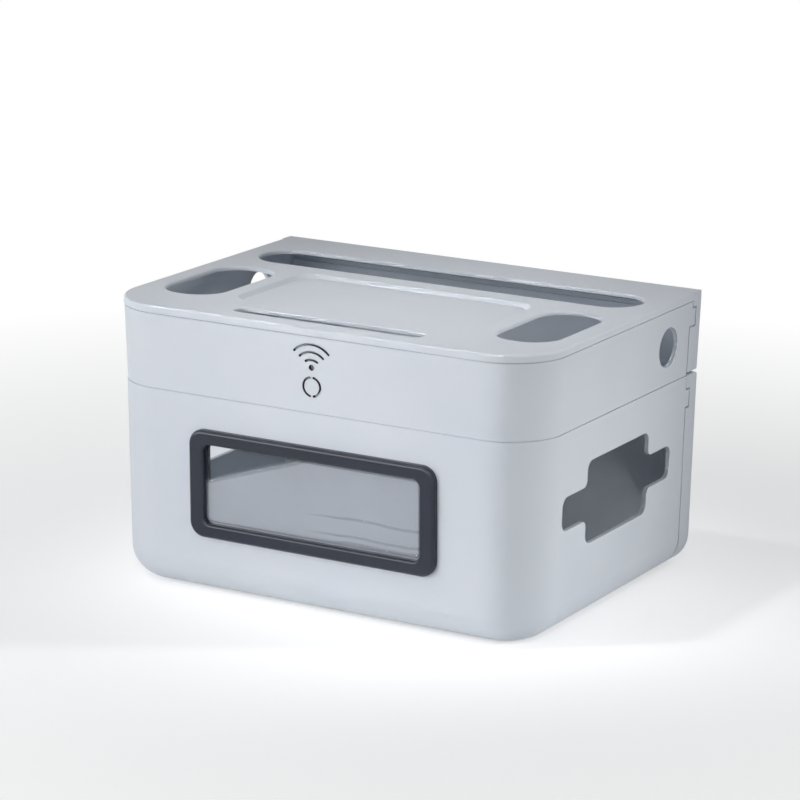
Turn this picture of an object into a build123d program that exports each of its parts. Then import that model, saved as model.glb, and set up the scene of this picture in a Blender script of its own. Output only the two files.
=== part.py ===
"""Two-tier cable management box with a windowed power-strip box, a router tray and a lift-off lid.

Millimetres. +Z is up, the front faces -Y. The origin is on the floor, under the middle of the whole box.
Heights are measured from the floor. Depths called *_at are measured back from the lid's front edge.
"""

from build123d import *
from math import cos, radians, sin, tan
import os

# Overall sizes
WIDTH = 294.0
DEPTH = 216.0
HEIGHT = 175.2
BEZEL_LEAD = 2.25  # the window bezel stands this far in front of the lid's front edge
FRONT = -(DEPTH - BEZEL_LEAD) / 2
BACK = FRONT + DEPTH

# Shared wall and seam sizes
WALL = 2.6
CORNER_RADIUS = 36.0
GAP = 0.3  # room between shells that slide past each other
SEAM_GAP = 0.6  # height of the shadow gap under a shell that rests on the one below
SEAM_LIP = 1.3  # depth of that gap
REAR_GAP = 1.1  # shadow gap round the front edges of the rear covers
LID_GAP = 0.12  # hairline gap between the lid and the strip behind it
FIT_GAP = 0.55  # sideways room round a locating skirt
SKIRT_WALL = 1.8
OVERRUN = 30.0  # shells are drawn past the back and trimmed there
EDGE_ROUND = 1.3

# Lower box
LOWER_TOP = 124.0
LOWER_BOTTOM = 0.6
LOWER_INSET = 1.6
LOWER_TAPER = 1.15
BOTTOM_FILLET = 20.2
FLOOR = 2.8
FLOOR_RIB_ATS = (148.0, 179.0)
FLOOR_RIB_LENGTH = 208.0
FLOOR_RIB_WIDTH = 2.4
FLOOR_RIB_HEIGHT = 1.6

# Router tray
TRAY_TOP = 170.0
TRAY_TAPER = 2.1
TRAY_INSET = 0.25
TRAY_FLOOR = 2.4
TRAY_SKIRT_DROP = 5.0
TRAY_SKIRT_END = 186.0
CABLE_DROP_SIZE = (150.0, 24.0)
CABLE_DROP_AT = 176.0
SIDE_HOLE_RADIUS = 12.4
SIDE_HOLE_AT = 172.2
SIDE_HOLE_HEIGHT = 147.6

# Signal symbol cut through the tray's front wall
SIGNAL_STROKE = 1.4
SIGNAL_CENTRE_HEIGHT = 149.1
SIGNAL_ARCS = ((16.4, 45.0), (11.8, 42.0), (7.2, 33.0))  # radius and half angle
SIGNAL_DOT_RADIUS = 1.8
SIGNAL_DOT_HEIGHT = 151.6
RING_RADIUS = 5.7
RING_HEIGHT = 140.0
RING_GAP_ANGLE = 13.0  # half angle of the gaps at the ring's top and bottom

# Rear seam, seen from the side
SEAM_AT = 200.2
LID_END_AT = 203.6
UPPER_TONGUE_HEIGHTS = (155.0, 165.5)
UPPER_TONGUE_AT = 207.8
LOWER_TONGUE_HEIGHTS = (104.4, 114.9)
LOWER_TONGUE_AT = 204.8
PANEL_GAP_HEIGHTS = (123.7, 125.3)

# Guide pegs of the rear panels and their sockets
PEG_RADIUS = 2.5
PEG_CLEARANCE = 0.3
PEG_LENGTH = 9.0
PEG_CHAMFER = 0.7
POST_RADIUS = 4.2
SOCKET_RADIUS = 5.0
SOCKET_LENGTH = 12.0
LOWER_PEG_X = 133.0
LOWER_PEG_HEIGHTS = (46.0, 98.0)
UPPER_PEG_X = 100.0
UPPER_PEG_HEIGHT = 134.0
REAR_RIB_HEIGHTS = (160.6, 163.6)
REAR_RIB_DEPTH = 1.6
REAR_RIB_THICKNESS = 1.0

# Lid
LID_TOP = HEIGHT
LID_PLATE = 2.4
LID_EDGE_FILLET = 1.4
LID_SKIRT_DROP = 5.0
REST_BAND_LAP = 0.5  # how far the band that rests on the tray reaches past the lid's own wall
LID_SKIRT_END = 178.0
REAR_SLOT = (265.6, 38.8)
REAR_SLOT_AT = 160.6
POCKET = (40.0, 83.4)
POCKET_X = 113.6
POCKET_AT = 79.2
POCKET_RADIUS = 18.5
CARD_SLOT = (127.0, 11.2)
CARD_SLOT_AT = 19.3
CARD_SLOT_RADIUS = 5.0
RECESS = (164.0, 86.0)
RECESS_AT = 83.4
RECESS_RADIUS = 15.0
RECESS_DEPTH = 2.4
RECESS_WALL_ANGLE = 50.0
RECESS_FLOOR = 2.2
RECESS_CREASE = 0.7
RECESS_ROUND = 2.0
POCKET_ROUND = 1.6
CARD_SLOT_ROUND = 0.9
REAR_SLOT_ROUND = 1.2

# Stepped cable outlets in the lower box's sides
OUTLET_AT = 111.2
OUTLET_HEIGHT = 74.9
OUTLET_MIDDLE = (80.0, 50.8)
OUTLET_LOBES = (141.2, 20.6)
OUTLET_OUTER_RADIUS = 6.0
OUTLET_INNER_RADIUS = 4.0

# Window, drawn on the front wall's leaning outer face
WINDOW_HEIGHT = 71.0
BEZEL = (167.4, 66.6)
BEZEL_RADIUS = 9.5
BEZEL_PROUD = 4.3
BEZEL_OUTER_FILLET = 2.3
BEZEL_INNER_FILLET = 1.7
SIGHT = (147.4, 49.0)
SIGHT_RADIUS = 4.5
COLLAR_WALL = 3.2
PANE_LEDGE = 1.5
PANE_BOSS = 0.9
PANE_BOSS_MARGIN = 1.0
PANE_FIT = 0.15
RETAINER = (166.0, 65.0)
RETAINER_THICKNESS = 2.0
BEZEL_BOSS_RADIUS = 2.6
BEZEL_BOSS_X = (0.0, 68.0)
BEZEL_BOSS_SPAN = 57.2
SCREW_RADIUS = 1.3
SCREW_HEAD_RADIUS = 2.3
SCREW_HEAD = 1.6
SCREW_REACH = 5.0
SCREW_HOLE_TOP = 2.0  # end of a screw hole, in front of the wall's outer face

# Rubber feet
FOOT_RADIUS = 7.0
FOOT_X = 104.0
FOOT_ATS = (40.0, 172.0)
FOOT_SOCKET_DEPTH = 1.2


def at(distance):
    """Y of a place `distance` behind the lid's front edge."""
    return FRONT + distance


def rounded(size, radius):
    """A rectangle with all four corners rounded."""
    return RectangleRounded(size[0], size[1], radius)


def plan(inset, back):
    """A shell's outline from above, `inset` inside the lid's: round front corners and a square back."""
    front = FRONT + inset
    outline = Pos(0, (front + back) / 2) * Rectangle(WIDTH - 2 * inset, back - front)
    front_corners = outline.vertices().group_by(Axis.Y)[0]
    return fillet(front_corners, CORNER_RADIUS - inset)


def shell_block(inset, top, bottom, taper):
    """The solid inside a shell's outline, narrowing downwards from `top` to `bottom`."""
    outline = Pos(0, 0, top) * plan(inset, BACK + OVERRUN)
    return extrude(outline, amount=bottom - top, dir=(0, 0, 1), taper=taper)


def upright_block(inset, top, bottom, back):
    """A straight-sided block inside a shell's outline, ending at `back`."""
    return Pos(0, 0, bottom) * extrude(plan(inset, back), amount=top - bottom)


def span_box(x_range, y_range, z_range):
    """A box between two corners."""
    low, high = zip(x_range, y_range, z_range)
    size = [b - a for a, b in zip(low, high)]
    return Pos(*low) * Box(*size, align=(Align.MIN,) * 3)


def behind(offset, step_at, tongue_at, tongue_heights, end_at, end_height):
    """Everything behind a rear seam, as a prism across the width, moved back by `offset`.

    From the bottom up the seam stands at step_at, at tongue_at over the tongue's heights, and at end_at
    from there to end_height.
    """
    low, high = tongue_heights[0] - offset, tongue_heights[1] + offset
    step, tongue, end = at(step_at) + offset, at(tongue_at) + offset, at(end_at) + offset
    far = BACK + 2 * OVERRUN
    corners = [(step, -OVERRUN), (step, low), (tongue, low), (tongue, high)]
    corners += [(end, high), (end, end_height), (far, end_height), (far, -OVERRUN)]
    profile = Plane.YZ * make_face(Polyline(*corners, close=True))
    return extrude(profile, amount=WIDTH, both=True)


def trim_back(solid):
    """Cuts a shell off at the back."""
    return solid & span_box((-WIDTH, WIDTH), (FRONT - OVERRUN, BACK), (-OVERRUN, HEIGHT + OVERRUN))


def round_back(solid, open_edge):
    """Rounds a shell's back edges, apart from the one at its open side, "top" or "bottom"."""
    edges = solid.faces().sort_by(Axis.Y)[-1].outer_wire().edges().sort_by(Axis.Z)
    kept = edges[:-1] if open_edge == "top" else edges[1:]
    return fillet(kept, EDGE_ROUND)


def upright_cylinder(radius, height):
    """A cylinder that stands on the origin."""
    return Cylinder(radius, height, align=(Align.CENTER, Align.CENTER, Align.MIN))


def peg(x, height):
    """A stepped guide peg that points forward from a rear panel's inner face."""
    shoulder = at(SEAM_AT)
    post = Pos(x, shoulder, height) * Rot(-90, 0, 0) * upright_cylinder(POST_RADIUS, BACK - WALL - shoulder)
    tip = Pos(x, shoulder, height) * Rot(90, 0, 0) * upright_cylinder(PEG_RADIUS, PEG_LENGTH)
    return post + chamfer(tip.edges().sort_by(Axis.Y)[0], PEG_CHAMFER)


def socket(x, height):
    """The round boss that takes a guide peg, and the bore in it."""
    mouth = Pos(x, at(SEAM_AT), height) * Rot(90, 0, 0)
    boss = mouth * upright_cylinder(SOCKET_RADIUS, SOCKET_LENGTH)
    bore = mouth * upright_cylinder(PEG_RADIUS + PEG_CLEARANCE, PEG_LENGTH + 1)
    return boss, bore


def through_side(sketch, centre_at, height):
    """A cutter through both side walls. The sketch's X runs back along the box, and its Y runs up."""
    plane = Plane(origin=(0, at(centre_at), height), x_dir=(0, 1, 0), z_dir=(1, 0, 0))
    return extrude(plane * sketch, amount=WIDTH, both=True)


def through_front(sketch, height):
    """A cutter through the front wall. The sketch's X runs to the right, and its Y runs up."""
    plane = Plane(origin=(0, FRONT - 5, height), x_dir=(1, 0, 0), z_dir=(0, -1, 0))
    return extrude(plane * sketch, amount=-15)


def outlet_outline():
    """The stepped outlet: a tall middle with a low lobe at each end."""
    cross = Rectangle(*OUTLET_MIDDLE) + Rectangle(*OUTLET_LOBES)
    half_width, half_height = OUTLET_MIDDLE[0] / 2, OUTLET_LOBES[1] / 2
    inner = [v for v in cross.vertices() if abs(v.X) < half_width + 1 and abs(v.Y) < half_height + 1]
    cross = fillet(inner, OUTLET_INNER_RADIUS)
    far_x, far_y = OUTLET_LOBES[0] / 2 - 0.1, OUTLET_MIDDLE[1] / 2 - 0.1
    outer = [v for v in cross.vertices() if abs(v.X) > far_x or abs(v.Y) > far_y]
    return fillet(outer, OUTLET_OUTER_RADIUS)


def arc_stroke(radius, start, end):
    """A round-ended stroke along an arc about the origin, in degrees from the X axis."""
    middle_angle = radians((start + end) / 2)
    ends = [(radius * cos(radians(a)), radius * sin(radians(a))) for a in (start, end)]
    middle = (radius * cos(middle_angle), radius * sin(middle_angle))
    path = ThreePointArc(ends[0], middle, ends[1])
    stroke = trace(path, SIGNAL_STROKE)
    for end_point in ends:
        stroke += Pos(*end_point) * Circle(SIGNAL_STROKE / 2)
    return stroke


def signal_cutters():
    """The wireless-signal arcs, their dot and the split ring below, as cutters through the front wall."""
    cutters = [through_front(Circle(SIGNAL_DOT_RADIUS), SIGNAL_DOT_HEIGHT)]
    for radius, half_angle in SIGNAL_ARCS:
        stroke = arc_stroke(radius, 90 - half_angle, 90 + half_angle)
        cutters.append(through_front(stroke, SIGNAL_CENTRE_HEIGHT))
    for side in (0, 180):
        stroke = arc_stroke(RING_RADIUS, side - 90 + RING_GAP_ANGLE, side + 90 - RING_GAP_ANGLE)
        cutters.append(through_front(stroke, RING_HEIGHT))
    return cutters


def window_plane():
    """The plane of the front wall's outer face at the window's middle: X to the right, Y up, Z outwards."""
    lean = radians(LOWER_TAPER)
    inset = LOWER_INSET + (LOWER_TOP - WINDOW_HEIGHT) * tan(lean)
    outwards = (0, -cos(lean), -sin(lean))
    return Plane(origin=(0, FRONT + inset, WINDOW_HEIGHT), x_dir=(1, 0, 0), z_dir=outwards)


def window_slab(sketch, low, high):
    """A slab with the sketch's outline on the window's plane, from `low` to `high` outwards."""
    return extrude(window_plane() * Pos(0, 0, low) * sketch, amount=high - low)


def grown(size, margin):
    """A size grown by a margin on every side."""
    return (size[0] + 2 * margin, size[1] + 2 * margin)


def boss_places():
    """Where the bezel's screw bosses stand on the window's plane."""
    xs = [-BEZEL_BOSS_X[1], BEZEL_BOSS_X[0], BEZEL_BOSS_X[1]]
    return [(x, side * BEZEL_BOSS_SPAN / 2) for x in xs for side in (-1, 1)]


def outward_face(solid, outermost=True):
    """The solid's first or last face along the window's outward direction."""
    faces = solid.faces().sort_by(Axis((0, 0, 0), tuple(window_plane().z_dir)))
    return faces[-1] if outermost else faces[0]


def lower_shell():
    """The whole lower shell, before the rear seam divides it into box and rear panel."""
    block = shell_block(LOWER_INSET, LOWER_TOP, LOWER_BOTTOM, LOWER_TAPER)
    bottom_edges = block.faces().sort_by(Axis.Z)[0].edges().sort_by(Axis.Y)[:-1]
    block = round_back(trim_back(fillet(bottom_edges, BOTTOM_FILLET)), "top")
    hollow = shell_block(LOWER_INSET + WALL, LOWER_TOP, LOWER_BOTTOM + FLOOR, LOWER_TAPER)
    floor_edges = hollow.faces().sort_by(Axis.Z)[0].edges().sort_by(Axis.Y)[:-1]
    hollow = fillet(floor_edges, BOTTOM_FILLET - FLOOR)
    hollow = hollow & span_box((-WIDTH, WIDTH), (FRONT, BACK - WALL), (0, HEIGHT))
    hollow += Pos(0, 0, LOWER_TOP) * extrude(plan(LOWER_INSET + WALL, BACK - WALL), amount=1)
    return block - hollow


def foot_places():
    """Names and centres of the four feet."""
    rows = zip(("front", "rear"), FOOT_ATS)
    sides = (("left", -FOOT_X), ("right", FOOT_X))
    return [(f"{row}_{side}", x, at(y)) for row, y in rows for side, x in sides]


def lower_box(shell):
    """The power-strip box: floor, front and sides, with its window opening, outlets, ribs and sockets."""
    box = shell - behind(0, SEAM_AT, LOWER_TONGUE_AT, LOWER_TONGUE_HEIGHTS, SEAM_AT, HEIGHT)
    for rib_at in FLOOR_RIB_ATS:
        low = LOWER_BOTTOM + FLOOR - 0.5
        rib = span_box(
            (-FLOOR_RIB_LENGTH / 2, FLOOR_RIB_LENGTH / 2),
            (at(rib_at) - FLOOR_RIB_WIDTH / 2, at(rib_at) + FLOOR_RIB_WIDTH / 2),
            (low, LOWER_BOTTOM + FLOOR + FLOOR_RIB_HEIGHT),
        )
        top_edges = rib.edges().filter_by(Axis.X).group_by(Axis.Z)[-1]
        box += fillet(rib.edges().filter_by(Axis.Z) + top_edges, 1.0)
    for side in (-1, 1):
        for height in LOWER_PEG_HEIGHTS:
            boss, bore = socket(side * LOWER_PEG_X, height)
            web_start, web_end = sorted((side * LOWER_PEG_X, side * (WIDTH / 2 - 4.5)))
            web = span_box(
                (web_start, web_end),
                (at(SEAM_AT) - SOCKET_LENGTH, at(SEAM_AT)),
                (height - 1.5, height + 1.5),
            )
            box = box + boss + web - bore
    box -= through_side(outlet_outline(), OUTLET_AT, OUTLET_HEIGHT)
    collar = grown(SIGHT, COLLAR_WALL + PANE_FIT)
    opening = rounded(collar, SIGHT_RADIUS + COLLAR_WALL)
    for x, y in boss_places():
        opening += Pos(x, y) * Circle(BEZEL_BOSS_RADIUS + PANE_FIT)
    box -= window_slab(opening, -WALL - 3, 3)
    for _, x, y in foot_places():
        box -= Pos(x, y, 0) * upright_cylinder(FOOT_RADIUS + 0.2, LOWER_BOTTOM + FOOT_SOCKET_DEPTH)
    return box


def lower_rear_panel(shell):
    """The lower box's back cover, with its flanges and four guide pegs."""
    panel_top = PANEL_GAP_HEIGHTS[0]
    panel = shell & behind(REAR_GAP, SEAM_AT, LOWER_TONGUE_AT, LOWER_TONGUE_HEIGHTS, SEAM_AT, panel_top)
    top_face = panel.faces().filter_by(Axis.Z).sort_by(Axis.Z)[-1]
    panel = fillet(top_face.edges().sort_by(Axis.Y)[-1], EDGE_ROUND)
    for side in (-1, 1):
        for height in LOWER_PEG_HEIGHTS:
            panel += peg(side * LOWER_PEG_X, height)
    return panel


def upper_shell():
    """The upper shell up to the rear strip's top, closed below and above."""
    block = shell_block(TRAY_INSET, TRAY_TOP, LOWER_TOP, TRAY_TAPER)
    block += upright_block(TRAY_INSET, HEIGHT, TRAY_TOP, BACK + OVERRUN)
    block = round_back(trim_back(block), "bottom")
    hollow = shell_block(TRAY_INSET + WALL, TRAY_TOP, LOWER_TOP + TRAY_FLOOR, TRAY_TAPER)
    hollow = hollow & span_box((-WIDTH, WIDTH), (FRONT, BACK - WALL), (0, HEIGHT))
    hollow += upright_block(TRAY_INSET + WALL, HEIGHT - LID_PLATE, TRAY_TOP, BACK - WALL)
    return block - hollow


def seam_relief(inset, level):
    """A ring that leaves a shadow gap just above `level` round the front and sides of a shell."""
    ring = plan(inset - 5, BACK + 5) - plan(inset + SEAM_LIP, BACK + 6)
    return Pos(0, 0, level) * extrude(ring, amount=SEAM_GAP)


def locating_skirt(inset, top, drop, end_at):
    """A skirt that hangs inside the shell below, round the front and sides."""
    ring = plan(inset, at(end_at)) - plan(inset + SKIRT_WALL, at(end_at) + 1)
    return Pos(0, 0, top - drop) * extrude(ring, amount=drop)


def router_tray(shell):
    """The router tier: floor, front and sides, side holes, the cut symbol and a skirt into the box below."""
    tray = shell - behind(0, SEAM_AT, UPPER_TONGUE_AT, UPPER_TONGUE_HEIGHTS, LID_END_AT, HEIGHT + 1)
    tray -= span_box((-WIDTH, WIDTH), (FRONT - 5, BACK + 5), (TRAY_TOP, HEIGHT + 5))
    tray -= seam_relief(LOWER_INSET, LOWER_TOP)
    floor_inset = TRAY_INSET + WALL + 3.0
    tail = upright_block(floor_inset, LOWER_TOP + TRAY_FLOOR, LOWER_TOP, BACK - WALL - FIT_GAP)
    tray += tail & span_box((-WIDTH, WIDTH), (at(SEAM_AT) - 5, BACK), (0, HEIGHT))
    skirt_inset = LOWER_INSET + WALL + FIT_GAP
    tray += locating_skirt(skirt_inset, LOWER_TOP, TRAY_SKIRT_DROP, TRAY_SKIRT_END)
    drop_hole = Pos(0, at(CABLE_DROP_AT)) * rounded(CABLE_DROP_SIZE, 8)
    tray -= Pos(0, 0, LOWER_TOP - 1) * extrude(drop_hole, amount=TRAY_FLOOR + 2)
    for side in (-1, 1):
        boss, bore = socket(side * UPPER_PEG_X, UPPER_PEG_HEIGHT)
        foot = span_box(
            (side * UPPER_PEG_X - 3, side * UPPER_PEG_X + 3),
            (at(SEAM_AT) - SOCKET_LENGTH, at(SEAM_AT)),
            (LOWER_TOP + TRAY_FLOOR - 0.5, UPPER_PEG_HEIGHT),
        )
        tray = tray + boss + foot - bore
    tray -= through_side(Circle(SIDE_HOLE_RADIUS), SIDE_HOLE_AT, SIDE_HOLE_HEIGHT)
    for cutter in signal_cutters():
        tray -= cutter
    return tray


def upper_rear_panel(shell):
    """The router tier's back cover with the strip along the top's rear edge, ribs and two guide pegs."""
    panel = shell & behind(REAR_GAP, SEAM_AT, UPPER_TONGUE_AT, UPPER_TONGUE_HEIGHTS, LID_END_AT, HEIGHT + 1)
    floor_zone = LOWER_TOP + TRAY_FLOOR + GAP
    inner_half = WIDTH / 2 - TRAY_INSET - WALL - 2.2
    panel -= span_box((-inner_half, inner_half), (FRONT, BACK - WALL), (0, floor_zone))
    panel -= span_box((-WIDTH, WIDTH), (FRONT, BACK + 5), (0, PANEL_GAP_HEIGHTS[1]))
    bottom_edges = panel.edges().filter_by(Axis.X).group_by(Axis.Z)[0].sort_by(Axis.Y)
    panel = fillet(bottom_edges[-1], EDGE_ROUND)
    rib_half = WIDTH / 2 - TRAY_INSET - WALL - 2
    for height in REAR_RIB_HEIGHTS:
        panel += span_box(
            (-rib_half, rib_half),
            (BACK - WALL - REAR_RIB_DEPTH, BACK - WALL + 0.5),
            (height - REAR_RIB_THICKNESS / 2, height + REAR_RIB_THICKNESS / 2),
        )
    for side in (-1, 1):
        panel += peg(side * UPPER_PEG_X, UPPER_PEG_HEIGHT)
    return panel


def lid_panel():
    """The lid: a rounded plate with a skirt, a rear slot, two pockets, a card slot and a recess."""
    lid_back = at(LID_END_AT) + REAR_GAP - LID_GAP
    block = upright_block(0, LID_TOP, TRAY_TOP, lid_back)
    top_edges = block.faces().sort_by(Axis.Z)[-1].edges().sort_by(Axis.Y)[:-1]
    block = fillet(top_edges, LID_EDGE_FILLET)
    underside = upright_block(WALL, LID_TOP - LID_PLATE, TRAY_TOP, lid_back - WALL)
    lid = block - underside - seam_relief(0, TRAY_TOP)
    rest_band = plan(SEAM_LIP, lid_back) - plan(WALL + REST_BAND_LAP, lid_back - WALL)
    lid += Pos(0, 0, TRAY_TOP) * extrude(rest_band, amount=1)
    skirt_inset = TRAY_INSET + WALL + FIT_GAP
    skirt_drop = LID_TOP - LID_PLATE - TRAY_TOP + LID_SKIRT_DROP
    lid += locating_skirt(skirt_inset, LID_TOP - LID_PLATE, skirt_drop, LID_SKIRT_END)

    recess_outline = rounded(RECESS, RECESS_RADIUS)
    recess_place = Pos(0, at(RECESS_AT), LID_TOP)
    lid += recess_place * extrude(recess_outline, amount=-RECESS_DEPTH - RECESS_FLOOR)
    recess = extrude(recess_outline, amount=-RECESS_DEPTH, taper=RECESS_WALL_ANGLE)
    recess = fillet(recess.faces().sort_by(Axis.Z)[0].edges(), RECESS_CREASE)
    lid -= recess_place * recess
    lid = soften_rim(lid, 0, RECESS_AT, RECESS, RECESS_ROUND)

    through = 3 * LID_PLATE
    openings = [
        (0, REAR_SLOT_AT, REAR_SLOT, SlotOverall(*REAR_SLOT), REAR_SLOT_ROUND),
        (0, CARD_SLOT_AT, CARD_SLOT, rounded(CARD_SLOT, CARD_SLOT_RADIUS), CARD_SLOT_ROUND),
        (-POCKET_X, POCKET_AT, POCKET, rounded(POCKET, POCKET_RADIUS), POCKET_ROUND),
        (POCKET_X, POCKET_AT, POCKET, rounded(POCKET, POCKET_RADIUS), POCKET_ROUND),
    ]
    for x, y, size, outline, rim_round in openings:
        lid -= Pos(x, at(y), LID_TOP - through) * extrude(outline, amount=through + 1)
        lid = soften_rim(lid, x, y, size, rim_round)
    return lid


def soften_rim(lid, x, y, size, radius):
    """Rounds the lid's top edges round one opening of the given size."""
    top_edges = lid.edges().filter_by_position(Axis.Z, LID_TOP - 0.01, LID_TOP + 0.01)
    across = top_edges.filter_by_position(Axis.X, x - size[0] / 2 - 1, x + size[0] / 2 + 1)
    rim = across.filter_by_position(Axis.Y, at(y) - size[1] / 2 - 1, at(y) + size[1] / 2 + 1)
    return fillet(rim, radius)


def window_bezel():
    """The dark frame: a rounded flange in front of the wall, a collar through it and six screw bosses."""
    flange = window_slab(rounded(BEZEL, BEZEL_RADIUS), 0, BEZEL_PROUD)
    bezel = fillet(outward_face(flange).edges(), BEZEL_OUTER_FILLET)
    bezel += window_slab(rounded(grown(SIGHT, COLLAR_WALL), SIGHT_RADIUS + COLLAR_WALL), -WALL, 0.5)
    bezel -= window_slab(rounded(SIGHT, SIGHT_RADIUS), -WALL - 1, BEZEL_PROUD + 1)
    inner_edges = outward_face(bezel).inner_wires()[0].edges()
    bezel = fillet(inner_edges, BEZEL_INNER_FILLET)
    pane_seat = rounded(grown(SIGHT, PANE_LEDGE + PANE_FIT), SIGHT_RADIUS + PANE_LEDGE)
    bezel -= window_slab(pane_seat, -WALL - 1, 0)
    for x, y in boss_places():
        bezel += window_slab(Pos(x, y) * Circle(BEZEL_BOSS_RADIUS), -WALL, 0.5)
        bezel -= window_slab(Pos(x, y) * Circle(SCREW_RADIUS + 0.1), -WALL - 1, SCREW_HOLE_TOP)
    return bezel


def window_pane():
    """The clear pane: a plate held by its edge, with a raised middle whose border is bevelled."""
    plate = window_slab(rounded(grown(SIGHT, PANE_LEDGE), SIGHT_RADIUS + PANE_LEDGE), -WALL, 0)
    boss_size = grown(SIGHT, -PANE_BOSS_MARGIN)
    boss = extrude(
        window_plane() * rounded(boss_size, SIGHT_RADIUS - PANE_BOSS_MARGIN), amount=PANE_BOSS, taper=45
    )
    return plate + boss


def window_retainer():
    """The flat frame behind the front wall, with six screw holes."""
    back = -WALL - RETAINER_THICKNESS
    retainer = window_slab(rounded(RETAINER, BEZEL_RADIUS), back, -WALL)
    retainer -= window_slab(rounded(SIGHT, SIGHT_RADIUS), back - 1, 0)
    for x, y in boss_places():
        retainer -= window_slab(Pos(x, y) * Circle(SCREW_RADIUS + 0.2), back - 1, 0)
    return retainer


def retainer_screws():
    """Six pan-head screws with a cross recess, pointing outwards into the bezel's bosses."""
    seat = -WALL - RETAINER_THICKNESS
    screws = []
    for x, y in boss_places():
        head = window_slab(Pos(x, y) * Circle(SCREW_HEAD_RADIUS), seat - SCREW_HEAD, seat)
        head = fillet(outward_face(head, outermost=False).edges(), 0.6)
        shank = window_slab(Pos(x, y) * Circle(SCREW_RADIUS), seat - 0.5, seat + SCREW_REACH)
        cross = Rectangle(2.4, 0.6) + Rectangle(0.6, 2.4)
        recess = window_slab(Pos(x, y) * cross, seat - SCREW_HEAD - 1, seat - SCREW_HEAD + 0.8)
        screws.append(head + shank - recess)
    return Compound(children=[solid for screw in screws for solid in screw.solids()])


def foot(x, y):
    """A rubber foot: a round pad with a softened lower edge."""
    pad = Pos(x, y, 0) * upright_cylinder(FOOT_RADIUS, LOWER_BOTTOM + FOOT_SOCKET_DEPTH)
    return fillet(pad.edges().sort_by(Axis.Z)[0], 0.4)


def main():
    """Builds every piece and writes it to parts/."""
    os.makedirs("parts", exist_ok=True)
    lower, upper = lower_shell(), upper_shell()
    pieces = {
        "lower_box": lower_box(lower),
        "lower_rear_panel": lower_rear_panel(lower),
        "router_tray": router_tray(upper),
        "upper_rear_panel": upper_rear_panel(upper),
        "lid_panel": lid_panel(),
        "window_bezel": window_bezel(),
        "window_pane": window_pane(),
        "window_retainer": window_retainer(),
        "retainer_screws": retainer_screws(),
    }
    for name, x, y in foot_places():
        pieces[f"foot_{name}"] = foot(x, y)
    for name, piece in pieces.items():
        piece.label = name
        export_step(piece, f"parts/{name}.step")
        print(name, len(piece.solids()), round(piece.volume))


if __name__ == "__main__":
    main()
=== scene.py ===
"""Looks of a tiered cable management box: the finishes of its pieces, and a plain studio.

Metres, in the solids' frame: +X along the box's width, +Y from its windowed front to its back, +Z up.
"""

from __future__ import annotations

import logging
from dataclasses import dataclass
from enum import Enum
from typing import Any

import bpy
import numpy as np
from mathutils import Matrix, Vector


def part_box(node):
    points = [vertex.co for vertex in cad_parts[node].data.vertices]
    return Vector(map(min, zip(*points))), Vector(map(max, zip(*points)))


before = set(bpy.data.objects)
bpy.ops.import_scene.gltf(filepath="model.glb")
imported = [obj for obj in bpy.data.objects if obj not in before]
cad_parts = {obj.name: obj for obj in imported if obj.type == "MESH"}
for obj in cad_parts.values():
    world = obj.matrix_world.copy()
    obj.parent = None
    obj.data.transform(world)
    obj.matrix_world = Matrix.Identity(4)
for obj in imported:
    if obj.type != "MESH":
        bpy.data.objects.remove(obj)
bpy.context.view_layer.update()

LOG = logging.getLogger("cable_box")
Colour = tuple[float, float, float]


def from_screen(red: int, green: int, blue: int) -> Colour:
    """Turns a screen colour into the linear colour that shaders take.

    A channel's share of 255 is divided by 12.92 near black, and follows a power curve above that.

    Args:
        red, green, blue: the screen colour's channels, from 0 to 255.

    Returns:
        The linear colour, each channel from 0 to 1.
    """
    share = np.array([red, green, blue]) / 255
    linear = np.where(share <= 0.04045, share / 12.92, ((share + 0.055) / 1.055) ** 2.4)
    return tuple(float(channel) for channel in linear)


class Value:
    """A number that changes over a surface: a shader socket with Python's arithmetic."""

    def __init__(self, graph: Graph, socket: bpy.types.NodeSocket) -> None:
        """Wraps a socket of a graph."""
        self.graph = graph
        self.socket = socket

    def _maths(self, operation: str, first: Any, second: Any) -> Value:
        """Adds one Math node.

        Args:
            operation: the Math node's operation.
            first, second: its operands, each a Value or a number.

        Returns:
            The node's result.
        """
        return self.graph.add("ShaderNodeMath", {"operation": operation}, {0: first, 1: second})

    def __add__(self, other: Any) -> Value:
        """Sum."""
        return self._maths("ADD", self, other)

    __radd__ = __add__

    def __sub__(self, other: Any) -> Value:
        """Difference."""
        return self._maths("SUBTRACT", self, other)

    def __rsub__(self, other: Any) -> Value:
        """Difference from a plain number."""
        return self._maths("SUBTRACT", other, self)

    def __mul__(self, other: Any) -> Value:
        """Product."""
        return self._maths("MULTIPLY", self, other)

    __rmul__ = __mul__

    def __truediv__(self, other: Any) -> Value:
        """Quotient."""
        return self._maths("DIVIDE", self, other)

    def unsigned(self) -> Value:
        """The value without its sign."""
        return self.graph.add("ShaderNodeMath", {"operation": "ABSOLUTE"}, {0: self})

    def between(self, low: float, high: float) -> Value:
        """1 where the value lies between two limits, and 0 elsewhere.

        Args:
            low, high: the limits.

        Returns:
            The share.
        """
        return self._maths("GREATER_THAN", self, low) * self._maths("LESS_THAN", self, high)


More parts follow.
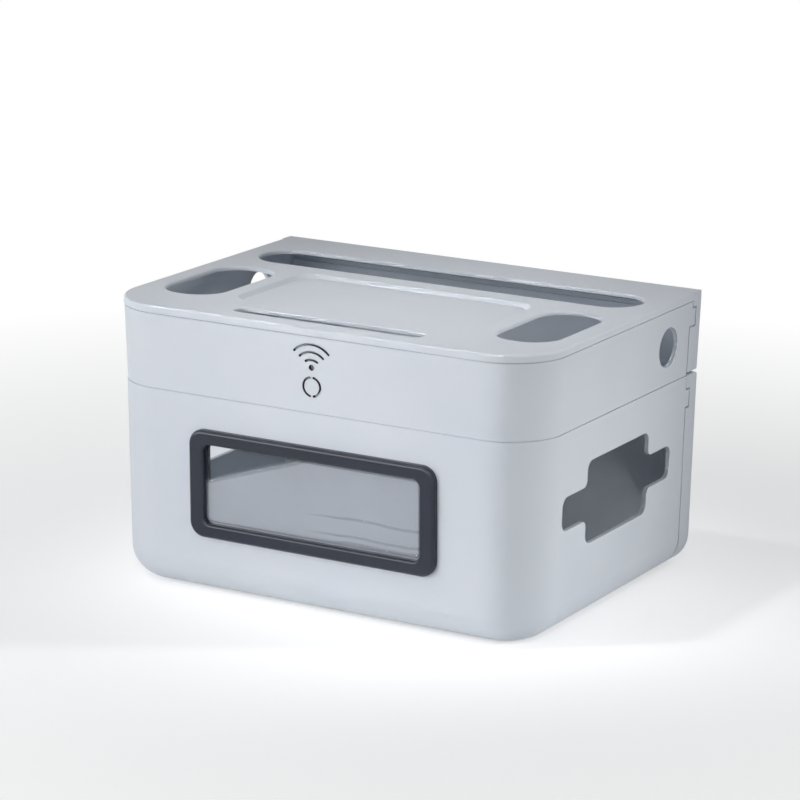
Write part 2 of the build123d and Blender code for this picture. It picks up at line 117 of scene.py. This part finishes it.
class Graph:
    """The node tree of one new material."""

    def __init__(self, name: str) -> None:
        """Makes a material with an empty node tree and its output node."""
        self.material = bpy.data.materials.new(name)
        self.material.use_nodes = True
        self.tree = self.material.node_tree
        self.tree.nodes.clear()
        self.output = self.tree.nodes.new("ShaderNodeOutputMaterial")

    def add(
        self,
        kind: str,
        settings: dict[str, Any] | None = None,
        inputs: dict[str | int, Any] | None = None,
        output: str | int = 0,
    ) -> Value:
        """Adds a node.

        Args:
            kind: the node's type.
            settings: its own properties, which are set before its sockets.
            inputs: what its sockets get, by name or number: a Value to link, or a plain value.
            output: the socket that is returned.

        Returns:
            One of the node's outputs.
        """
        node = self.tree.nodes.new(kind)
        for name, setting in (settings or {}).items():
            setattr(node, name, setting)
        for name, given in (inputs or {}).items():
            if isinstance(given, Value):
                self.tree.links.new(given.socket, node.inputs[name])
            else:
                node.inputs[name].default_value = given
        return Value(self, node.outputs[output])

    def place(self) -> Value:
        """Object coordinates, in metres."""
        return self.add("ShaderNodeTexCoord", output="Object")

    def axes(self) -> tuple[Value, Value, Value]:
        """The object coordinates' three parts."""
        place = self.place()
        return tuple(self.add("ShaderNodeSeparateXYZ", {}, {0: place}, axis) for axis in "XYZ")

    def noise(self, size: float, detail: float = 3.0, roughness: float = 0.5) -> Value:
        """Smooth noise over the object.

        Args:
            size: the width of one swell, in metres.
            detail: how many finer octaves are added.
            roughness: how strong those octaves are.

        Returns:
            The noise, about 0.5.
        """
        inputs = {"Vector": self.place(), "Scale": 1 / size, "Detail": detail, "Roughness": roughness}
        return self.add("ShaderNodeTexNoise", {}, inputs)

    def around(self, middle: float, noise: Value, spread: float) -> Value:
        """A value that varies about a middle.

        Args:
            middle: what it is where the noise is 0.5.
            noise: the noise that it follows.
            spread: how far apart its ends are, where the noise is 0 and 1.

        Returns:
            The value.
        """
        return noise * spread + (middle - spread / 2)

    def contrasted(self, noise: Value, middle: float = 0.5) -> Value:
        """Noise with twice its contrast.

        Args:
            noise: the noise, from 0 to 1.
            middle: what becomes 0.5.

        Returns:
            The stronger noise, which may pass 0 and 1.
        """
        return noise * 2 + (0.5 - 2 * middle)

    def clamped(self, given: Value) -> Value:
        """A value held between 0 and 1."""
        return self.add("ShaderNodeClamp", {}, {"Value": given})

    def blend(self, share: Value, first: Value | Colour, second: Value | Colour) -> Value:
        """A colour between two others.

        Args:
            share: how much of the second colour shows, from 0 to 1.
            first, second: the two colours, each fixed or one that changes.

        Returns:
            The mixed colour.
        """
        settings = {"data_type": "RGBA", "clamp_factor": True}
        ends = [end if isinstance(end, Value) else (*end, 1) for end in (first, second)]
        # A Mix node takes its colours at inputs 6 and 7, and gives their mixture at output 2.
        return self.add("ShaderNodeMix", settings, {0: share, 6: ends[0], 7: ends[1]}, output=2)

    def bump(self, height: Value, depth: float) -> Value:
        """A normal that follows a height.

        Args:
            height: the height, from 0 to 1.
            depth: how deep 1 is, in metres.

        Returns:
            The normal.
        """
        return self.add("ShaderNodeBump", {}, {"Height": height, "Distance": depth, "Strength": 1.0})

    def finish(self, surface: Value) -> bpy.types.Material:
        """Connects the surface shader.

        Args:
            surface: the shader that the material shows.

        Returns:
            The material.
        """
        self.tree.links.new(surface.socket, self.output.inputs["Surface"])
        return self.material


@dataclass(frozen=True)
class PaintedSlotShade:
    """Painted shade on the walls of the symbol's slots, which are cut through the tray's leaning front
    wall.

    Fields:
        shade_colour: the colour of the painted shade.
        node: the tray, whose box gives the wall's top edge.
        lean: how far the wall leans outwards towards its top, in degrees.
        half_width: how far the symbol reaches to either side of the middle.
        heights: the lowest and the highest place of the symbol.
        depths: where the lining starts and ends behind the wall's outer face.
    """

    # The painted shade: a dark colour in place of the shade inside the slots.
    shade_colour: Colour = from_screen(28, 29, 33)
    node: str = "router_tray"
    lean: float = 2.1
    half_width: float = 0.016
    heights: tuple[float, float] = (0.130, 0.169)
    depths: tuple[float, float] = (0.00010, 0.00250)

    def share(self, graph: Graph) -> Value:
        """Where the painted shade shows.

        The depth behind the outer face is the distance behind the top edge, less the face's own slope times
        the distance below that edge.

        Args:
            graph: the node tree that asks.

        Returns:
            1 on the slots' walls and 0 elsewhere.
        """
        low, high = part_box(self.node)
        slope = float(np.tan(np.radians(self.lean)))
        across, back, up = graph.axes()
        depth = back - low.y - (high.z - up) * slope
        beside = across.between(-self.half_width, self.half_width)
        return beside * up.between(*self.heights) * depth.between(*self.depths)


@dataclass(frozen=True)
class ShellPlastic:
    """Pale grey moulded plastic with a fine spark-eroded grain.

    Fields:
        name: the material's name.
        slot_shade: the painted shade on the walls of cut slots, where there are any.
        colour, cloud: the plastic's colour, and the colour of the faint clouds in it.
        cloud_size: the width of a cloud.
        roughness, roughness_spread: its mean roughness, and how far that varies.
        wear_size: the width of a patch that is rougher or smoother.
        grain_size, grain_depth: the width and the depth of the grain.
        index: the refractive index.
    """

    name: str = "shell_plastic"
    slot_shade: PaintedSlotShade | None = None
    colour: Colour = from_screen(226, 231, 238)
    cloud: Colour = from_screen(221, 227, 235)
    cloud_size: float = 0.06
    roughness: float = 0.54
    roughness_spread: float = 0.05
    wear_size: float = 0.012
    grain_size: float = 0.0005
    grain_depth: float = 0.000008
    index: float = 1.46

    def material(self) -> bpy.types.Material:
        """Builds the material: faint clouds in the colour, a slightly uneven gloss and an even grain."""
        graph = Graph(self.name)
        clouds = graph.noise(self.cloud_size, detail=2.0)
        grain = graph.noise(self.grain_size, detail=2.0, roughness=0.6)
        wear = graph.noise(self.wear_size)
        colour = graph.blend(graph.contrasted(clouds), self.colour, self.cloud)
        if self.slot_shade:
            # Painted shade on the slots' walls.
            colour = graph.blend(self.slot_shade.share(graph), colour, self.slot_shade.shade_colour)
        inputs = {
            "Base Color": colour,
            "Roughness": graph.around(self.roughness, wear, self.roughness_spread),
            "Normal": graph.bump(grain, self.grain_depth),
            "IOR": self.index,
        }
        return graph.finish(graph.add("ShaderNodeBsdfPrincipled", {}, inputs))


@dataclass(frozen=True)
class FramePlastic:
    """Dark slate plastic of the window's frame, with a satin sheen.

    Fields:
        colour, cloud: the plastic's colour, and the colour of the faint clouds in it.
        cloud_size: the width of a cloud.
        roughness, roughness_spread: its mean roughness, and how far that varies with the clouds.
        grain_size, grain_depth: the width and the depth of the grain.
        index: the refractive index.
    """

    colour: Colour = from_screen(35, 42, 58)
    cloud: Colour = from_screen(31, 37, 53)
    cloud_size: float = 0.02
    roughness: float = 0.16
    roughness_spread: float = 0.06
    grain_size: float = 0.0004
    grain_depth: float = 0.000006
    index: float = 1.5

    def material(self) -> bpy.types.Material:
        """Builds the material: a nearly even dark colour with a satin gloss."""
        graph = Graph("frame_plastic")
        clouds = graph.noise(self.cloud_size)
        grain = graph.noise(self.grain_size, detail=2.0, roughness=0.6)
        inputs = {
            "Base Color": graph.blend(graph.contrasted(clouds), self.colour, self.cloud),
            "Roughness": graph.around(self.roughness, clouds, self.roughness_spread),
            "Normal": graph.bump(grain, self.grain_depth),
            "IOR": self.index,
        }
        return graph.finish(graph.add("ShaderNodeBsdfPrincipled", {}, inputs))


@dataclass(frozen=True)
class ClearPlastic:
    """The window's clear pane: a pale painted reflection, and a reflection that grows at grazing angles.

    The painted reflection all but ends above a slanting edge in the upper left corner, and thin level lines
    of painted shade, where it thins, cross it in the right half.

    Fields:
        tint: the colour that the pane gives to what is seen through it.
        haze, thin_painted_reflection: the two colours between which the painted reflection drifts.
        painted_reflection_share, painted_reflection_spread: how much the painted reflection covers on
        average, and how far that varies.
        painted_reflection_size: the width of a swell in the painted reflection.
        corner_share: how much of the painted reflection is left above the slanting edge.
        corner_edge: two points of that edge, each by its place across and up.
        corner_blur: the width over which the painted reflection changes there.
        shade_line_heights, shade_line_width: the heights of the lines of painted shade, and half the width
            of one.
        shade_line_wander, shade_line_swell: how far a line wanders up and down, and the width of one such
            swell.
        shade_line_start, shade_line_run: where the lines start across, and the width over which they fade
            in.
        shade_line_share: how much of the painted reflection a line takes away.
        roughness, roughness_spread: the film's mean roughness, and how far that varies.
        index, film_index: the refractive indices of the pane and of the film.
    """

    tint: Colour = from_screen(250, 252, 254)
    # The painted reflection's two colours: a pale film that stands in for the light that the pane reflects.
    painted_reflection: Colour = from_screen(214, 220, 229)
    thin_painted_reflection: Colour = from_screen(206, 213, 223)
    painted_reflection_share: float = 0.52
    painted_reflection_spread: float = 0.16
    painted_reflection_size: float = 0.04
    corner_share: float = 0.01
    corner_edge: tuple[tuple[float, float], tuple[float, float]] = ((-0.072, 0.0725), (-0.017, 0.0907))
    corner_blur: float = 0.004
    # Lines of painted shade, where the painted reflection thins so that the darker inside shows.
    shade_line_heights: tuple[float, ...] = (0.0490, 0.0530, 0.0636)
    shade_line_width: float = 0.0011
    shade_line_wander: float = 0.004
    shade_line_swell: float = 0.03
    shade_line_start: float = -0.006
    shade_line_run: float = 0.03
    shade_line_share: float = 0.5
    roughness: float = 0.095
    roughness_spread: float = 0.05
    index: float = 1.49
    film_index: float = 2.0

    def material(self) -> bpy.types.Material:
        """Builds the material: a hazy, glossy film of painted reflection that covers a share of a clear
        pane.

        The share is the Fresnel reflection, the painted reflection less its lines of painted shade, and
        what is left of the painted reflection in the corner, added up.
        """
        graph = Graph("clear_plastic")
        drift = graph.noise(self.painted_reflection_size, detail=2.0)
        shine = graph.add("ShaderNodeFresnel", {}, {"IOR": self.index})
        clear = graph.add("ShaderNodeBsdfTransparent", {}, {"Color": (*self.tint, 1)})
        inputs = {
            "Base Color": graph.blend(drift, self.painted_reflection, self.thin_painted_reflection),
            "Roughness": graph.around(self.roughness, drift, self.roughness_spread),
            "IOR": self.film_index,
        }
        film = graph.add("ShaderNodeBsdfPrincipled", {}, inputs)
        corner = self.corner(graph)
        # Painted reflection: the share of the pane that the pale film covers, in place of the light that
        # the pane reflects.
        painted_reflection = graph.around(self.painted_reflection_share, drift, self.painted_reflection_spread)
        # Painted shade: level lines where the painted reflection thins, so that they show dark.
        painted_reflection = painted_reflection * (1 - self.painted_shade_lines(graph) * self.shade_line_share)
        share = shine + painted_reflection * (1 - corner) + corner * self.corner_share
        return graph.finish(graph.add("ShaderNodeMixShader", {}, {0: share, 1: clear, 2: film}))

    def corner(self, graph: Graph) -> Value:
        """Where the painted reflection ends: the distance above the edge, over the width of the change.

        Args:
            graph: the node tree that asks.

        Returns:
            1 above the slanting edge, 0 below it, and a soft change between them.
        """
        across, _, up = graph.axes()
        start, end = (np.array(point) for point in self.corner_edge)
        run, rise = (float(part) for part in (end - start) / np.linalg.norm(end - start))
        above = (up - float(start[1])) * run - (across - float(start[0])) * rise
        return graph.clamped(above / self.corner_blur + 0.5)

    def painted_shade_lines(self, graph: Graph) -> Value:
        """Where the lines of painted shade lie: level lines that wander a little and fade in from the
        pane's middle.

        A line is 1 less the distance from its height, over its half width.

        Args:
            graph: the node tree that asks.

        Returns:
            1 in the middle of a line and 0 clear of them.
        """
        across, _, up = graph.axes()
        level = up + graph.around(0.0, graph.noise(self.shade_line_swell, detail=2.0), self.shade_line_wander)
        gaps = [(level - height).unsigned() for height in self.shade_line_heights]
        lines = sum(graph.clamped(1 - gap / self.shade_line_width) for gap in gaps)
        return lines * graph.clamped((across - self.shade_line_start) / self.shade_line_run)


@dataclass(frozen=True)
class ScrewSteel:
    """Zinc-plated steel of the small screws.

    Fields:
        colour, dull: the plating's colour, and the colour of its duller spots.
        mottle_size: the width of such a spot.
        roughness, roughness_spread: its mean roughness, and how far that varies with the spots.
    """

    colour: Colour = from_screen(196, 198, 200)
    dull: Colour = from_screen(170, 173, 178)
    mottle_size: float = 0.0008
    roughness: float = 0.38
    roughness_spread: float = 0.12

    def material(self) -> bpy.types.Material:
        """Builds the material: bright plating with a fine mottle."""
        graph = Graph("screw_steel")
        mottle = graph.noise(self.mottle_size, detail=2.0)
        inputs = {
            "Base Color": graph.blend(mottle, self.colour, self.dull),
            "Metallic": 1.0,
            "Roughness": graph.around(self.roughness, mottle, self.roughness_spread),
        }
        return graph.finish(graph.add("ShaderNodeBsdfPrincipled", {}, inputs))


@dataclass(frozen=True)
class FootRubber:
    """Black rubber of the feet.

    Fields:
        colour, dust: the rubber's colour, and the colour of the dust on it.
        patch_size: the width of a dusty patch.
        roughness, roughness_spread: its mean roughness, and how far that varies with the dust.
        skin_size, skin_depth: the width and the depth of the unevenness of its skin.
    """

    colour: Colour = from_screen(44, 44, 46)
    dust: Colour = from_screen(62, 61, 60)
    patch_size: float = 0.004
    roughness: float = 0.775
    roughness_spread: float = 0.15
    skin_size: float = 0.0006
    skin_depth: float = 0.00002

    def material(self) -> bpy.types.Material:
        """Builds the material: matt black with a little dust and a fine skin."""
        graph = Graph("foot_rubber")
        patches = graph.noise(self.patch_size)
        skin = graph.noise(self.skin_size, detail=2.0)
        inputs = {
            "Base Color": graph.blend(graph.contrasted(patches, middle=0.55), self.colour, self.dust),
            "Roughness": graph.around(self.roughness, patches, self.roughness_spread),
            "Normal": graph.bump(skin, self.skin_depth),
        }
        return graph.finish(graph.add("ShaderNodeBsdfPrincipled", {}, inputs))


def dress(nodes: tuple[str, ...], material: bpy.types.Material) -> None:
    """Gives solids a material.

    Args:
        nodes: the solids' names.
        material: what they are made of.
    """
    for name in nodes:
        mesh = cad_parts[name].data
        mesh.materials.clear()
        mesh.materials.append(material)
        LOG.info("%s: %s, %d faces", name, material.name, len(mesh.polygons))


@dataclass
class Shells:
    """The five pale mouldings: lower box, router tray, lid and both rear covers."""

    plain: tuple[str, ...] = ("lower_box", "lower_rear_panel", "upper_rear_panel", "lid_panel")
    marked: tuple[str, ...] = ("router_tray",)
    finish: ShellPlastic = ShellPlastic()
    # The tray's plastic, with painted shade on the walls of the symbol's slots.
    marked_finish: ShellPlastic = ShellPlastic("marked_shell_plastic", slot_shade=PaintedSlotShade())

    def build(self) -> None:
        """Dresses the mouldings, and paints shade on the walls of the symbol's slots in the tray's front
        wall.
        """
        dress(self.plain, self.finish.material())
        dress(self.marked, self.marked_finish.material())


@dataclass
class Window:
    """The dark frame, its clear pane, the retainer behind the wall and the screws."""

    frames: tuple[str, ...] = ("window_bezel", "window_retainer")
    panes: tuple[str, ...] = ("window_pane",)
    screws: tuple[str, ...] = ("retainer_screws",)
    frame_finish: FramePlastic = FramePlastic()
    pane_finish: ClearPlastic = ClearPlastic()
    screw_finish: ScrewSteel = ScrewSteel()

    def build(self) -> None:
        """Dresses the window's pieces."""
        dress(self.frames, self.frame_finish.material())
        dress(self.panes, self.pane_finish.material())
        dress(self.screws, self.screw_finish.material())


@dataclass
class Feet:
    """The four rubber feet."""

    nodes: tuple[str, ...] = ("foot_front_left", "foot_front_right", "foot_rear_left", "foot_rear_right")
    finish: FootRubber = FootRubber()

    def build(self) -> None:
        """Dresses the feet."""
        dress(self.nodes, self.finish.material())


class Beam(Enum):
    """How widely a lamp's light fans out, in degrees: bare, or through a honeycomb grid."""

    OPEN = 180.0
    GRID = 10.0
    NARROW_GRID = 9.0


@dataclass(frozen=True)
class Lamp:
    """A soft lamp on a sphere round the point that it lights.

    Fields:
        name: the lamp's name.
        turn: how far round the box it stands, in degrees from the front towards the right.
        rise: how high it stands, in degrees above the floor.
        power: its power, in watts.
        size: its width and height, in metres.
        target: the point that it lights.
        beam: how widely its light fans out.
        distance: how far from that point it stands.
    """

    name: str
    turn: float
    rise: float
    power: float
    size: tuple[float, float]
    target: tuple[float, float, float] = (0.0, 0.0, 0.09)
    beam: Beam = Beam.OPEN
    distance: float = 1.8

    def build(self) -> None:
        """Adds the lamp to the scene, facing the point that it lights."""
        light = bpy.data.lights.new(self.name, "AREA")
        light.shape = "RECTANGLE"
        light.size, light.size_y = self.size
        light.spread = np.radians(self.beam.value)
        light.energy = self.power
        lamp = bpy.data.objects.new(self.name, light)
        lamp.visible_camera = False
        bpy.context.scene.collection.objects.link(lamp)
        turned, risen = np.radians(self.turn), np.radians(self.rise)
        level = np.cos(risen)
        outwards = Vector((level * np.sin(turned), -level * np.cos(turned), np.sin(risen)))
        facing = (-outwards).to_track_quat("-Z", "Y").to_matrix().to_4x4()
        lamp.matrix_world = Matrix.Translation(Vector(self.target) + outwards * self.distance) @ facing
        LOG.info("lamp %s, %.3f W", self.name, self.power)


@dataclass
class Studio:
    """A pale floor, a soft world and the lamps round the box.

    Fields:
        floor_span: the floor's width.
        floor_colour: its colour in the light of the lamps.
        floor_lift: light that is added to it where it shows, so that it looks white.
        fade_start, fade_end: between which distances from the middle it turns plain white.
        world_colour, world_level: the soft light from all sides.
        shown_rays: the kinds of rays that show the background and the floor as white.
        lamps: the lamps.
    """

    floor_span: float = 12.0
    floor_colour: Colour = (0.86, 0.86, 0.86)
    floor_lift: float = 0.45
    fade_start: float = 0.25
    fade_end: float = 0.75
    world_colour: Colour = (0.94, 0.97, 1.0)
    world_level: float = 0.22
    shown_rays: tuple[str, ...] = ("Is Camera Ray", "Is Glossy Ray", "Is Transmission Ray")
    lamps: tuple[Lamp, ...] = (
        # The main light, and a thin strip behind the box that stays below the top of the closed lid.
        Lamp("front_left", turn=330, rise=14, power=15.3, size=(1.7, 0.9)),
        Lamp("rear_fill", turn=200, rise=1, power=5.0, size=(1.2, 0.1)),
        # Three weak narrow beams, which brighten the side, the lid and the front corner.
        Lamp(
            "right_grid",
            turn=120,
            rise=14,
            power=0.110,
            size=(0.28, 0.28),
            target=(0.14, -0.07, 0.09),
            beam=Beam.NARROW_GRID,
        ),
        Lamp(
            "lid_grid",
            turn=315,
            rise=62,
            power=0.067,
            size=(0.28, 0.28),
            target=(0.0, -0.06, 0.17),
            beam=Beam.NARROW_GRID,
        ),
        Lamp(
            "front_right_grid",
            turn=30,
            rise=38,
            power=0.068,
            size=(0.35, 0.35),
            target=(0.05, -0.05, 0.12),
            beam=Beam.GRID,
        ),
    )

    def build(self) -> None:
        """Adds the floor, the world and the lamps."""
        self.build_floor()
        self.build_world()
        for lamp in self.lamps:
            lamp.build()

    def build_floor(self) -> None:
        """A flat square at height 0: each corner is half the span from the middle, across and back."""
        half = self.floor_span / 2
        corners = [(-half, -half, 0), (half, -half, 0), (half, half, 0), (-half, half, 0)]
        mesh = bpy.data.meshes.new("floor")
        mesh.from_pydata(corners, [], [(0, 1, 2, 3)])
        floor = bpy.data.objects.new("floor", mesh)
        bpy.context.scene.collection.objects.link(floor)
        mesh.materials.append(self.floor_material())

    def background_rays(self, graph: Graph) -> Value:
        """Which rays show the background, straight or in gloss and glass.

        Args:
            graph: the node tree that asks.

        Returns:
            1 for those rays, and 0 for the others, which only carry light.
        """
        return sum(graph.add("ShaderNodeLightPath", output=kind) for kind in self.shown_rays)

    def floor_material(self) -> bpy.types.Material:
        """A pale diffuse floor that keeps the shadow, is lifted where it shows, and turns white far out."""
        graph = Graph("floor")
        shown = self.background_rays(graph)
        plain = graph.add("ShaderNodeBsdfDiffuse", {}, {"Color": (*self.floor_colour, 1)})
        lift = graph.add("ShaderNodeEmission", {}, {"Strength": shown * self.floor_lift})
        near = graph.add("ShaderNodeAddShader", {}, {0: plain, 1: lift})
        white = graph.add("ShaderNodeEmission", {}, {"Strength": 1.0})
        reach = graph.add("ShaderNodeVectorMath", {"operation": "LENGTH"}, {0: graph.place()}, "Value")
        fade = graph.clamped((reach - self.fade_start) / (self.fade_end - self.fade_start))
        return graph.finish(graph.add("ShaderNodeMixShader", {}, {0: fade * shown, 1: near, 2: white}))

    def build_world(self) -> None:
        """A white world where it shows, straight or in gloss and glass, and a soft cool light elsewhere."""
        world = bpy.data.worlds.new("studio")
        bpy.context.scene.world = world
        world.use_nodes = True
        tree = world.node_tree
        tree.nodes.clear()
        output = tree.nodes.new("ShaderNodeOutputWorld")
        path = tree.nodes.new("ShaderNodeLightPath")
        shader = tree.nodes.new("ShaderNodeBackground")
        shader.inputs["Color"].default_value = (*self.world_colour, 1)
        shader.inputs["Strength"].default_value = self.world_level
        for kind in self.shown_rays:
            white = tree.nodes.new("ShaderNodeBackground")
            mix = tree.nodes.new("ShaderNodeMixShader")
            tree.links.new(path.outputs[kind], mix.inputs[0])
            tree.links.new(shader.outputs[0], mix.inputs[1])
            tree.links.new(white.outputs[0], mix.inputs[2])
            white.inputs["Color"].default_value = (1, 1, 1, 1)
            shader = mix
        tree.links.new(shader.outputs[0], output.inputs["Surface"])


@dataclass
class Viewpoint:
    """A camera given by its place and its turn.

    Fields:
        node: the lid, from whose front edge the place is measured.
        place: where the camera stands, measured from the floor below the middle of that edge.
        forward: the direction in which it looks.
        roll: how far it is turned about that direction, in degrees.
        focal_pixels, picture_pixels: its focal length and the picture's width, in pixels.
        sensor_width: the width of its sensor, in millimetres.
        clip: the nearest and the farthest distance that it sees.
    """

    node: str = "lid_panel"
    place: tuple[float, float, float] = (1.009065, -1.653910, 0.633570)
    forward: tuple[float, float, float] = (-0.48197, 0.83971, -0.25016)
    roll: float = 0.648
    focal_pixels: float = 3456.07
    picture_pixels: float = 800.0
    sensor_width: float = 36.0
    clip: tuple[float, float] = (0.05, 50.0)

    def build(self) -> None:
        """Adds the camera and makes it the scene's own."""
        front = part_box(self.node)[0].y
        ahead = Vector(self.forward).normalized()
        level = ahead.cross(Vector((0, 0, 1))).normalized()
        upright = level.cross(ahead)
        turn = np.radians(self.roll)
        right = level * np.cos(turn) + upright * np.sin(turn)
        up = upright * np.cos(turn) - level * np.sin(turn)
        rows = Matrix((right, up, -ahead)).transposed().to_4x4()
        lens = bpy.data.cameras.new("camera")
        lens.sensor_width = self.sensor_width
        lens.lens = self.focal_pixels / self.picture_pixels * self.sensor_width
        lens.clip_start, lens.clip_end = self.clip
        camera = bpy.data.objects.new("camera", lens)
        bpy.context.scene.collection.objects.link(camera)
        x, y, z = self.place
        camera.matrix_world = Matrix.Translation((x, y + front, z)) @ rows
        bpy.context.scene.camera = camera
        LOG.info("camera, %.1f mm lens", lens.lens)


def main() -> None:
    """Builds the pieces, the studio and the camera in order."""
    logging.basicConfig(level=logging.INFO, format="%(name)s: %(message)s")
    bpy.context.scene.view_settings.view_transform = "Standard"
    for part in (Shells(), Window(), Feet(), Studio(), Viewpoint()):
        part.build()


if __name__ == "__main__":
    main()
